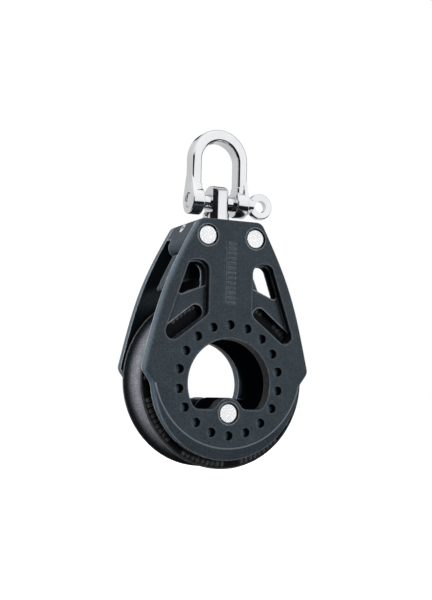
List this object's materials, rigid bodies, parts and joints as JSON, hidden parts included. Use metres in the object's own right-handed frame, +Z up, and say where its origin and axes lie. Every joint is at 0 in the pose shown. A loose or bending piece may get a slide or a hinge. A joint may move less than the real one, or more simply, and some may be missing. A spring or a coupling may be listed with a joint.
{
  "type": "single sheave block",
  "caption": "Ball bearing rope block with one grooved sheave between two open cheeks, a swivelling head and a shackle closed by an eye pin.",
  "frame": {"origin": "Centre of the sheave, on its axle line, midway between the cheeks.", "axes": "+Z up from the sheave to the shackle, +Y along the sheave axis towards the rear cheek, +X to the side with the shackle pin's eye."},
  "size_m": [0.0576, 0.0262, 0.1123],
  "materials": {
    "black_nylon": "satin glass-filled",
    "sheave_plastic": "satin",
    "stainless": "polished",
    "ball_plastic": "satin",
    "bush_plastic": "satin"
  },
  "bodies": {
    "shackle": {"shackle_bow": "stainless"},
    "pin": {"shackle_pin": "stainless"},
    "post": {"swivel_post": "stainless", "swivel_retaining_ring": "stainless"},
    "block_frame": {"front_cheek": "black_nylon", "rear_cheek": "black_nylon", "head_block": "black_nylon", "swivel_bush": "bush_plastic", "swivel_thrust_washer": "stainless", "lock_screw_insert": "stainless", "left_head_rivet": "stainless", "right_head_rivet": "stainless", "hub_rivet": "stainless", "hub": "black_nylon", "front_ball_retainer": "black_nylon", "rear_ball_retainer": "black_nylon"},
    "lock": {"lock_screw": "stainless"},
    "wheel": {"sheave": "sheave_plastic"},
    "front_balls": {"front_ball_row": "ball_plastic"},
    "rear_balls": {"rear_ball_row": "ball_plastic"}
  },
  "joints": [
    {"name": "pin_withdraw", "type": "slide", "parent": "shackle", "child": "pin", "axis": [1, 0, 0], "range_m": [0, 0.024]},
    {"name": "shackle_tilt", "type": "hinge", "parent": "shackle", "child": "post", "pos_m": [0, 0, 0.0594], "axis": [1, 0, 0], "range_deg": [-100, 100]},
    {"name": "swivel_turn", "type": "hinge", "parent": "post", "child": "block_frame", "pos_m": [0, 0, 0.0517], "axis": [0, 0, 1], "continuous": true},
    {"name": "lock_screw_travel", "type": "slide", "parent": "block_frame", "child": "lock", "axis": [-1, 0, 0], "range_m": [-0.0003, 0.002]},
    {"name": "sheave_spin", "type": "hinge", "parent": "block_frame", "child": "wheel", "pos_m": [0, 0, 0], "axis": [0, 1, 0], "continuous": true},
    {"name": "front_balls_orbit", "type": "hinge", "parent": "block_frame", "child": "front_balls", "pos_m": [0, 0, 0], "axis": [0, 1, 0], "continuous": true},
    {"name": "rear_balls_orbit", "type": "hinge", "parent": "block_frame", "child": "rear_balls", "pos_m": [0, 0, 0], "axis": [0, 1, 0], "continuous": true}
  ],
  "couplings": [
    {"joint": "front_balls_orbit", "follows": "sheave_spin", "ratio": 0.557},
    {"joint": "rear_balls_orbit", "follows": "sheave_spin", "ratio": 0.557}
  ]
}
